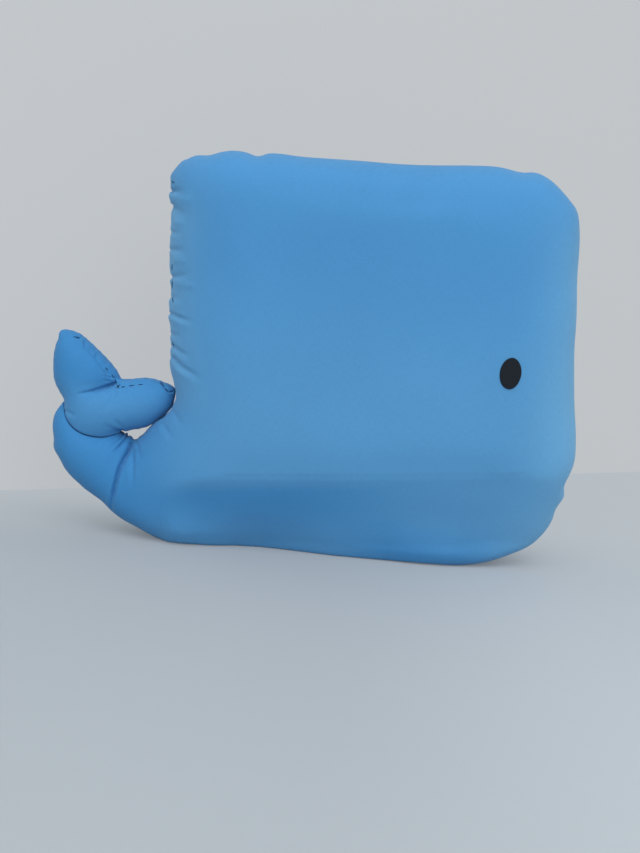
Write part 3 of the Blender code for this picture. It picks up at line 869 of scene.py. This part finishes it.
# Folds and puckers: points of the picture, then depth in millimetres, width in pixels, lip in
# millimetres, how soon it fades at its two ends, and how much it flares
SEAM_FADE = (0.05, 0.85)
CROTCH_FADE = (0.0, 0.6)
BODY_FOLDS = (
    (((169, 191), (176, 191), (185, 190)), 2.2, 2.0, 0.6, SEAM_FADE, 1.4),
    (((169, 205), (178, 212), (190, 217)), 1.8, 2.8, 0.5, SEAM_FADE, 1.3),
    (((169, 232), (177, 233), (185, 232)), 0.7, 1.8, 0.2, SEAM_FADE, 1.0),
    (((169, 249), (177, 250), (187, 249)), 1.4, 1.9, 0.4, SEAM_FADE, 1.2),
    (((169, 277), (179, 276), (192, 272)), 1.4, 2.0, 0.5, SEAM_FADE, 1.0),
    (((169, 297), (176, 298), (184, 299)), 0.8, 1.8, 0.3, SEAM_FADE, 1.0),
    (((169, 312), (175, 316), (184, 319.5), (198, 322)), 1.6, 1.6, 0.5, SEAM_FADE, 1.0),
    (((170, 333), (176, 336), (184, 339)), 0.8, 1.8, 0.3, SEAM_FADE, 1.0),
    (((171, 345), (179, 351.5), (193, 359.5)), 1.5, 1.6, 0.5, SEAM_FADE, 1.3),
    (((172, 356), (180, 366), (192, 374), (209, 385)), 1.7, 1.8, 0.6, SEAM_FADE, 1.3),
    (((173, 410), (177, 419), (184, 430)), 0.9, 1.8, 0.3, SEAM_FADE, 1.0),
    (((161, 422), (168, 433), (178, 445)), 0.8, 2.0, 0.3, SEAM_FADE, 1.0),
    (((178, 199), (186, 200), (194, 201)), -0.5, 4.0),
    (((173, 222), (180, 223), (187, 223)), -0.5, 3.5),
    (((172, 261), (179, 261), (187, 260)), -0.5, 3.5),
    (((178, 286), (188, 286), (197, 285)), -0.5, 3.5),
    (((132.4, 437), (132.8, 450), (132, 470), (131.5, 495)), 1.8, 1.3, 0.7, CROTCH_FADE, 0.8),
    (((134.5, 436), (137.8, 449), (140.5, 463)), 1.3, 1.3, 0.5, CROTCH_FADE, 0.8),
    (((128.6, 433), (124.6, 440.4), (116.8, 449.6), (110.6, 456)), 2.3, 1.2, 0.9, CROTCH_FADE, 0.6),
    (((126, 430.5), (120.6, 438), (112.5, 445), (106.5, 452)), 2.0, 1.1, 0.8, CROTCH_FADE, 0.6),
    (((124, 431.5), (117.5, 436), (110, 439.6), (101, 443.5)), 1.3, 1.1, 0.5, CROTCH_FADE, 0.6),
)
BODY_PUCKER = 0.35
REAR_PUCKER = 0.75
REAR_PUCKER_X = (-116 * MM, -100 * MM)
REAR_PUCKER_Z = (105 * MM, 125 * MM)
FAR_SIDE_SHARE = 0.8
FOLD_IRONINGS = 4
FOLD_IRONED_REACH = 3
FOLD_STROKE = 3.0 * MM
FOLD_WIDTH = 1.3 * MM
FOLD_LIP = 0.7 * MM
FOLD_LIP_PLACE = 2.4
FOLD_LIP_WIDTH = 1.6
FOLD_FAINTER = 0.6
FOLD_FAINTER_FROM = 0.7
FOLD_START_Y = (0, 8 * MM)

at = places(body_cover)
rear = step_down(at[:, 0], *REAR_PUCKER_X) * step_up(at[:, 2], *REAR_PUCKER_Z)
sew(body_cover, body_seam, waves=95, pucker=(BODY_PUCKER + REAR_PUCKER * rear) * MM,
    reach=7 * MM, seed=4)
at = places(body_cover)
pixels = in_picture(at)
draw = sum(fold_in(pixels, *one) for one in BODY_FOLDS) * np.where(at[:, 1] < 0, 1, FAR_SIDE_SHARE)
put_places(body_cover, at - outward(body_cover) * draw[:, None])
at = places(body_cover)
far, way = nearest(at[:, [0, 2]], fold)[:2]
near_fold = np.exp(-(far / (FOLD_IRONED_REACH * FOLD_WIDTH)) ** 4)
at += (ironed(body_cover, at, FOLD_IRONINGS) - at) * near_fold[:, None]
stroke = 1 - FOLD_FAINTER * step_up(way, FOLD_FAINTER_FROM, 1 + PAST_END)
stroke = stroke * step_up(np.abs(at[:, 1]), *FOLD_START_Y)
beside = (far - FOLD_LIP_PLACE * FOLD_WIDTH) / (FOLD_LIP_WIDTH * FOLD_WIDTH)
stroke = stroke * (FOLD_STROKE * np.exp(-(far / FOLD_WIDTH) ** 2) - FOLD_LIP * np.exp(-beside ** 2))
at[:, 1] -= np.sign(at[:, 1]) * stroke
put_places(body_cover, at)

# The heel: how far the cloth swells out over the floor, in millimetres, at places along the
# picture, and how its edge turns up off the floor. The lying fluke's tip dents the rear edge
HEEL_PIXELS = (160, 172, 186, 215, 235, 260, 285, 310, 335, 360, 385, 410, 440, 470, 500, 530)
HEEL_OUT = (4, 9, 11, 4, -1, -3, -1, 2, 5, 6, 7, 10, 11, 8, 6, 4)
HEEL_REACH = 26 * MM
HEEL_Y = (4 * MM, 22 * MM)
HEEL_LIFT = 3.0 * MM
HEEL_LIFT_Y = (24 * MM, 38 * MM)
HEEL_LIFT_Z = (0, 14 * MM)
FLOOR_GAP = 0.2 * MM
TIP_PIXEL = (158, 400)
TIP_ROUND = np.array((14.0, 24.0, 17.0)) * MM

at = places(body_cover)
aside = np.abs(at[:, 1])
out = np.interp(pixels[:, 0], HEEL_PIXELS, HEEL_OUT) * MM * np.exp(-(at[:, 2] / HEEL_REACH) ** 2)
at[:, 1] += np.sign(at[:, 1]) * out * step_up(aside, *HEEL_Y)
aside = np.abs(at[:, 1])
heel = HEEL_LIFT * step_up(aside, *HEEL_LIFT_Y) * (1 - step_up(at[:, 2], *HEEL_LIFT_Z))
at[:, 2] = np.maximum(at[:, 2], FLOOR_GAP) + heel
tip = np.append(on_seam([TIP_PIXEL]), 0)[[0, 2, 1]] * MM
off = (at - tip) / TIP_ROUND
inner = (off ** 2).sum(1) < 1
across = np.sqrt(np.clip(1 - off[:, 1] ** 2 - off[:, 2] ** 2, 0, 1)) * TIP_ROUND[0]
at[inner, 0] = (tip[0] + across)[inner]
put_places(body_cover, at)
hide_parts("body_front_panel", "body_back_panel", "body_filling",
            "tail_root_front_panel", "tail_root_back_panel", "tail_root_filling",
            "tail_front_panel", "tail_back_panel", "tail_filling")

# Painted light and shade in the dye, as a level from 0 to 1: a painted sheen on the nose and the
# rear edge, painted light on the lower face, less on the belly below the knee, which is painted
# darker than the face but lighter towards its front and nose, painted lighter at the rear of the
# heel and darker at its front near the floor, and none on the tail, which keeps the darkest blue
# as painted shade
FACE_PAINTED_LIGHT = 0.18
NOSE_REACH = 50 * MM
NOSE_SHEEN_X = (120 * MM, 185 * MM)
NOSE_TOP_Z = (245 * MM, 295 * MM)
NOSE_TOP_LESS_SHEEN = 0.9
REAR_PAINTED_SHEEN = 0.65
REAR_REACH = 42 * MM
REAR_PAINTED_SHEEN_X = (-100 * MM, -60 * MM)
REAR_LOW_Z = (100 * MM, 130 * MM)
REAR_TOP_Z = (250 * MM, 295 * MM)
LOW_FACE_PAINTED_LIGHT = 0.22
LOW_FACE_PAINTED_LIGHT_Z = (110 * MM, 250 * MM)
LOW_FACE_PAINTED_LIGHT_X = (-140 * MM, -60 * MM)
TAIL_PAINTED_SHADE_X = (-150 * MM, -95 * MM)
TAIL_PAINTED_SHADE_Z = (90 * MM, 150 * MM)
BELLY_TURN = 12 * MM
BELLY_PAINTED_LIGHT = 0.07
BELLY_FRONT_PAINTED_LIGHT = 0.36
BELLY_FRONT_X = (-30 * MM, 140 * MM)
BELLY_NOSE_PAINTED_LIGHT = 0.6
HEEL_PAINTED_LIGHT = 0.25
HEEL_FRONT_PAINTED_SHADE = 0.55
HEEL_FRONT_X = (0, 90 * MM)
HEEL_PAINTED_LIGHT_Z = (0, 45 * MM)


def body_painted_light(at):
    """The level of painted light and shade in the dye at each point of the body's cloth."""
    x, z = at[:, 0], at[:, 2]
    skin = skin_way(at, body_seam)[0]
    # Painted sheen along the nose and the rear edge, and painted light on the lower face
    nose = np.exp(-(skin / NOSE_REACH) ** 2) * step_up(x, *NOSE_SHEEN_X)
    nose = nose * (1 - NOSE_TOP_LESS_SHEEN * step_up(z, *NOSE_TOP_Z))
    rear = np.exp(-(skin / REAR_REACH) ** 2) * step_down(x, *REAR_PAINTED_SHEEN_X)
    rear = rear * step_up(z, *REAR_LOW_Z) * (1 - step_up(z, *REAR_TOP_Z))
    low = (1 - step_up(z, *LOW_FACE_PAINTED_LIGHT_Z)) * step_up(x, *LOW_FACE_PAINTED_LIGHT_X)
    fade = FACE_PAINTED_LIGHT + nose + REAR_PAINTED_SHEEN * rear + LOW_FACE_PAINTED_LIGHT * low
    # The belly below the knee takes its own level: painted darker than the face, lighter towards its
    # front and nose, and near the floor painted lighter at the rear of the heel and darker at its front
    heel = HEEL_PAINTED_LIGHT - HEEL_FRONT_PAINTED_SHADE * step_up(x, *HEEL_FRONT_X)
    belly = BELLY_PAINTED_LIGHT + BELLY_FRONT_PAINTED_LIGHT * step_up(x, *BELLY_FRONT_X) + BELLY_NOSE_PAINTED_LIGHT * nose
    belly = belly + heel * (1 - step_up(z, *HEEL_PAINTED_LIGHT_Z))
    under = np.clip(bent_in(at[:, [0, 2]], knee_line, 1) / BELLY_TURN, 0, 1)
    fade = fade + (belly - fade) * under
    # Painted shade: the tail, low at the rear, gets no painted light
    tail_shade = step_down(x, *TAIL_PAINTED_SHADE_X) * (1 - step_up(z, *TAIL_PAINTED_SHADE_Z))
    return np.clip(fade * (1 - tail_shade), 0, 1)


mark_cloth(body_cover, body_painted_light(places(body_cover)))
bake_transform(body_cover)


# Flukes: one more pair of cotton panels, sewn round two lobes, turned, stuffed and closed by hand
# at the notch. Their lower edge is sewn all round to the open end of the tail.

LEFT_RIM_PIXELS = (
    (63, 400.3), (56, 388.8), (52.3, 379), (51.6, 366), (52.3, 353), (54.6, 343.5), (57, 337.5),
    (57, 332), (60.5, 329.8), (69.5, 331.2), (77.5, 334.6), (84, 339.5), (93, 348), (101, 356),
    (109.5, 365), (114.7, 371.5), (118, 377), (118.8, 380),
)
RIGHT_RIM_PIXELS = (
    (118.8, 380), (127, 380.3), (134, 379.6), (144, 379), (155, 381), (162, 383), (168.6, 386),
    (173.6, 389), (174.3, 394), (173.2, 402), (170.2, 410.3), (163, 417.3), (154, 424.3), (147, 428),
    (139, 430.2), (130, 431.5), (121.8, 433),
)
LOBE_CREASE_PIXELS = (
    (118, 381.5), (113.5, 384), (105.9, 387), (93.6, 391), (81, 393.8), (70, 396),
)
LOBE_DEPTHS = (2, 7, 13, 18, 20, 20)
FLUKE_RIM_STEP = 2.2 * MM
LOBE_CREASE_STEP = 2 * MM
FLUKE_SPACING = 2.5 * MM
FLUKE_SWELL = 29 * MM
FLUKE_SKIN_REACH = 15 * MM
CREASE_MOST = 0.94
NECK_GAP = (0.3 * MM, 0.4 * MM)

left_rim = curve_through(on_seam(LEFT_RIM_PIXELS), FLUKE_RIM_STEP)
right_rim = curve_through(on_seam(RIGHT_RIM_PIXELS), FLUKE_RIM_STEP)
fluke_seam = np.vstack([left_rim[:-1], right_rim])
rim = np.vstack([fluke_seam[:-1], neck[:0:-1]])
crease = curve_through(on_seam(LOBE_CREASE_PIXELS, LOBE_DEPTHS), LOBE_CREASE_STEP)
points, triangles = net(rim, [crease], SEAM_ROWS[:-1], [(-1, 1, FLUKE_SPACING)])
on_rim = nearest(points, np.vstack([rim, rim[:1]]))[0] < ON_LINE
ring = points_along(points, neck)[::-1]
on_ring = np.isin(np.arange(len(points)), ring[1:-1])
reach = np.full(len(points), FLUKE_SKIN_REACH)
free_swell = swell(points, triangles, on_rim, reach, np.zeros(len(points)))
gap, way = nearest(points, crease)[:2]
on_crease = (gap < ON_LINE) & ~on_rim
depth = np.interp(way, np.linspace(0, 1, len(LOBE_DEPTHS)), LOBE_DEPTHS) * MM
held = np.where(on_crease, np.minimum((depth / FLUKE_SWELL) ** 2, CREASE_MOST * free_swell), 0)
neck_half = NECK_HALF * arch(nearest(points, neck)[1])
held = np.where(on_ring, (neck_half / FLUKE_SWELL) ** 2, held)
height = FLUKE_SWELL * np.sqrt(swell(points, triangles, on_rim | on_crease, reach, held))
fluke_cover = two_panels("fluke_cover", points + np.array(NECK_GAP), triangles, on_rim & ~on_ring,
                         ring, height, blue_cotton)

FLUKE_FOLDS = (
    (((116.5, 382.5), (105.9, 387), (93.6, 391), (81, 393.8), (70, 396)), 1.1, 1.5, 0.6,
     (0.01, 0.6)),
    (((116, 391), (109.5, 402), (103, 413)), 0.8, 2.2, 0.4, (0.05, 0.6)),
    (((86, 347), (94, 356.5), (101.5, 366), (107.6, 373.8), (112.5, 379)), 0.9, 1.2, 0.5,
     (0.1, 0.05)),
    (((84.6, 340), (85.4, 346), (86.6, 351)), 1.2, 1.2, 0.3, (0.05, 0.5)),
    (((96.5, 353), (96.5, 358.5), (98.5, 362)), 0.8, 1.0, 0.2, (0.05, 0.5)),
    (((72.5, 336.6), (76.5, 337.4), (81, 338.4)), 1.1, 1.1, 0.2, (0.2, 0.2)),
    (((103, 371), (108, 373), (114, 375)), 0.8, 1.0, 0.3),
    (((103, 375.5), (108.5, 377), (114, 378)), 0.8, 1.0, 0.3),
    (((103, 380), (108, 380.5), (114, 380.5)), 0.7, 1.0, 0.3),
    (((114.5, 376), (117, 381), (119.5, 387)), 1.5, 1.2, 0.5, (0.1, 0.1)),
    (((119.5, 388), (126, 386.5), (134, 385), (142, 384.3), (150, 384)), 1.0, 1.1, 0.5, (0.05, 0.4)),
    (((160, 382), (164, 385.5), (167.4, 390.5), (170, 391.8), (174.5, 391)), 1.6, 1.1, 0.6,
     (0.1, 0.1)),
    (((122, 431.5), (112, 428.5), (102, 424.5)), 1.0, 1.4, 0.4, CROTCH_FADE, 0.6),
    (((122, 431), (113, 432), (104, 431.5)), 0.8, 1.2, 0.3, CROTCH_FADE, 0.3),
    (((124, 430), (117, 423), (111, 418)), 0.6, 1.6, 0.3, CROTCH_FADE, 0.8),
    (((66, 411), (71, 414), (78, 416)), 0.6, 1.6, 0.3, CROTCH_FADE, 0.6),
)
FLUKE_HELD_AT_SEAM = 0.6 * MM
FLUKE_HELD_AT_NECK = (0.6 * MM, 5 * MM)
FLUKE_SLACK_SHARE = 0.5
FLUKE_GIVE = 2.5 * MM
# How much lighter the flukes' lower parts are painted, as painted light
FLUKE_PAINTED_LIGHT = 0.22
FLUKE_PAINTED_LIGHT_Z = (100 * MM, 132 * MM)

at = places(fluke_cover)
skin = skin_way(at, fluke_seam)[0]
crease_far, crease_way = nearest(at[:, [0, 2]], crease)[:2]
held = np.where(skin < FLUKE_HELD_AT_SEAM, 1.0, 0.0)
held = np.maximum(held, np.where(crease_far < FLUKE_HELD_AT_SEAM, 1 - crease_way * FOLD_LOOSENED, 0))
held = np.maximum(held, 1 - step_up(nearest(at[:, [0, 2]], neck)[0], *FLUKE_HELD_AT_NECK))
slack = np.exp(-(skin / (FLUKE_SLACK_SHARE * SLACK_REACH)) ** 2)
stuff(fluke_cover, held, slack, np.full(len(at), FLUKE_GIVE), passes=3)
divide(fluke_cover)
sew(fluke_cover, fluke_seam, waves=34, pucker=0.45 * MM, reach=5 * MM, seed=11)
at = places(fluke_cover)
draw = sum(fold_in(in_picture(at), *one) for one in FLUKE_FOLDS)
draw = draw * np.where(at[:, 1] < 0, 1, FAR_SIDE_SHARE)
put_places(fluke_cover, at - outward(fluke_cover) * draw[:, None])
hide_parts("left_fluke_front_panel", "left_fluke_back_panel", "left_fluke_filling",
            "right_fluke_front_panel", "right_fluke_back_panel", "right_fluke_filling")
# Painted light: the flukes are painted lighter low down, against the shade under them
fluke_top = step_up(places(fluke_cover)[:, 2], *FLUKE_PAINTED_LIGHT_Z)
mark_cloth(fluke_cover, FLUKE_PAINTED_LIGHT * (1 - fluke_top))
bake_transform(fluke_cover)


# Sewing thread: short runs of navy thread that show where the openings were closed by hand, at
# the notch and the tips of the flukes and down the rear seam. The same runs are on the far face.

THREAD_RADIUS = 0.34 * MM
THREAD_SIDES = 6
THREAD_ARCH = 1.6
THREAD_SINK = 0.9
THREAD_STEP_PIXELS = 0.5
FLUKE_STITCHES = (
    ((73.5, 336.8), (77, 337.3), (80.4, 338.3)),
    ((116.2, 388.3), (118, 386.4), (119.8, 384.6)),
    ((116.4, 384.2), (117.6, 386.2), (119.2, 388.6)),
    ((121, 387.3), (123, 387), (125, 386.6)),
    ((128.6, 386.2), (131.4, 385.6), (134.4, 385.2)),
    ((138, 384.9), (140.5, 384.6), (143, 384.4)),
    ((160.4, 382.8), (162.3, 384.4), (164.2, 386.6)),
    ((165.3, 388), (166.5, 389.8), (168.2, 391.4)),
    ((169.4, 391.7), (171, 391.5), (172.8, 391.1)),
    ((111.8, 374), (112.6, 376.2), (113.4, 378.2)),
    ((114.8, 379.2), (115.8, 380.9), (116.6, 382.9)),
    ((105.3, 367.6), (106.6, 369), (107.9, 370.4)),
)
BODY_STITCHES = (
    ((171.6, 181), (173, 182), (174.4, 183)),
    ((172.4, 263.5), (172.2, 267), (172.3, 271)),
    ((172.6, 279.5), (172.3, 284.5), (172.4, 289.5)),
    ((172.6, 297), (173, 300), (173.4, 303)),
    ((172.8, 341), (173.2, 343.5), (174, 345.8)),
)


def cloth_along(cover, line, facing):
    """The spots where the cloth lies behind a line of picture points, each with the direction
    that it faces: on the face that looks to the camera, or straight behind it on the other."""
    spots = []
    for x, y in line:
        hit, spot, normal, face = cover.ray_cast(camera.location, sight(x, y))
        if hit and facing > 0:
            hit, spot, normal, face = cover.ray_cast((spot.x, facing, spot.z), (0, -facing, 0))
        if hit:
            spots.append((spot, normal))
    return spots


def thread_runs(name, cover, runs, body):
    """Runs of thread that lie on the cloth along lines of picture points and dive in at the ends."""
    corners, faces = [], []
    for run in runs:
        line = curve_through(run, THREAD_STEP_PIXELS, unit=1.0)
        for facing in (-1, 1):
            spots = cloth_along(cover, line, facing)
            if len(spots) < 3:
                continue
            for k, (spot, normal) in enumerate(spots):
                before, after = spots[max(k - 1, 0)][0], spots[min(k + 1, len(spots) - 1)][0]
                side = normal.cross(after - before).normalized()
                arched = THREAD_ARCH * math.sin(math.pi * k / (len(spots) - 1)) - THREAD_SINK
                rise = THREAD_RADIUS * arched
                for turned in np.linspace(0, 2 * math.pi, THREAD_SIDES, endpoint=False):
                    corners.append(spot + normal * (rise + THREAD_RADIUS * math.cos(turned))
                                   + side * THREAD_RADIUS * math.sin(turned))
            first = len(corners) - len(spots) * THREAD_SIDES
            for k in range(len(spots) - 1):
                for s in range(THREAD_SIDES):
                    a = first + k * THREAD_SIDES + s
                    b = first + k * THREAD_SIDES + (s + 1) % THREAD_SIDES
                    faces.append((a, a + THREAD_SIDES, b + THREAD_SIDES, b))
            faces.append(tuple(range(first, first + THREAD_SIDES)))
            faces.append(tuple(range(len(corners) - 1, len(corners) - THREAD_SIDES - 1, -1)))
    piece = piece_from(name, corners, faces, navy_thread)
    mark_cloth(piece, np.zeros(len(corners)))
    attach(piece, body)


THREAD_DYE = (0.008, 0.030, 0.085)
navy_thread = cotton("navy_thread", THREAD_DYE, THREAD_DYE, nap=0.05)
bpy.context.view_layer.update()
thread_runs("fluke_stitches", fluke_cover, FLUKE_STITCHES, "flukes")
thread_runs("rear_stitches", body_cover, BODY_STITCHES, "torso")


# Eyes: an oval of near-black felt on each face of the body, a little over a millimetre thick.
# Each is cut by hand, so that its edge is slightly uneven, and stuck down flat on the cotton.

EYE_WIDTH = 16.0 * MM
EYE_HEIGHT = 23.4 * MM
EYE_PIXEL = (510.5, 373.5)
EYE_TILT = math.radians(1)
EYE_FELT = 1.1 * MM
EYE_SPOKES = 56
EYE_RINGS = ((0.2, 1.0), (0.4, 1.0), (0.6, 1.0), (0.78, 1.0), (0.9, 0.98), (0.965, 0.86),
             (0.995, 0.6), (1.0, 0.3), (0.99, -0.3))
CUT_UNEVEN = 0.006
CUT_WAVES = (2, 3, 5, 7)


def felt_eye(name, facing, seed):
    """A felt oval that follows the cloth under it."""
    rng = np.random.default_rng(seed)
    hit, spot, normal, face = body_cover.ray_cast(camera.location, sight(*EYE_PIXEL))
    corners, faces = [], []
    turns = np.linspace(0, 2 * math.pi, EYE_SPOKES, endpoint=False)
    cut = 1 + sum(rng.uniform(-CUT_UNEVEN, CUT_UNEVEN) * np.cos(k * turns + rng.uniform(0, 6))
                  for k in CUT_WAVES)
    for out, lift in EYE_RINGS:
        for turned, uneven in zip(turns, cut):
            across = math.sin(turned) * EYE_WIDTH / 2 * out * uneven
            up = math.cos(turned) * EYE_HEIGHT / 2 * out * uneven
            x = spot.x + across * math.cos(EYE_TILT) + up * math.sin(EYE_TILT)
            z = spot.z + up * math.cos(EYE_TILT) - across * math.sin(EYE_TILT)
            found, foot, normal, face = body_cover.ray_cast((x, facing, z), (0, -facing, 0))
            corners.append((x, foot.y + facing * EYE_FELT * lift, z))
    for ring in range(len(EYE_RINGS) - 1):
        for k in range(EYE_SPOKES):
            a, b = ring * EYE_SPOKES + k, ring * EYE_SPOKES + (k + 1) % EYE_SPOKES
            quad = (a, b, b + EYE_SPOKES, a + EYE_SPOKES)
            faces.append(quad if facing > 0 else quad[::-1])
    found, foot, normal, face = body_cover.ray_cast((spot.x, facing, spot.z), (0, -facing, 0))
    corners.append((spot.x, foot.y + facing * EYE_FELT, spot.z))
    for k in range(EYE_SPOKES):
        wedge = (len(corners) - 1, (k + 1) % EYE_SPOKES, k)
        faces.append(wedge if facing > 0 else wedge[::-1])
    bottom = [(len(EYE_RINGS) - 1) * EYE_SPOKES + k for k in range(EYE_SPOKES)]
    faces.append(bottom if facing > 0 else bottom[::-1])
    eye = piece_from(name, corners, faces, dark_felt)
    mark_cloth(eye, np.zeros(len(corners)))
    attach(eye, "torso")
    return eye


FELT_DYE = (0.006, 0.009, 0.015)
dark_felt = cotton("dark_felt", FELT_DYE, FELT_DYE, nap=0.05)
bpy.context.view_layer.update()
front_patch = felt_eye("front_eye_patch", -1, 5)
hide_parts("front_eye")
back_patch = felt_eye("back_eye_patch", 1, 6)
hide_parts("back_eye")
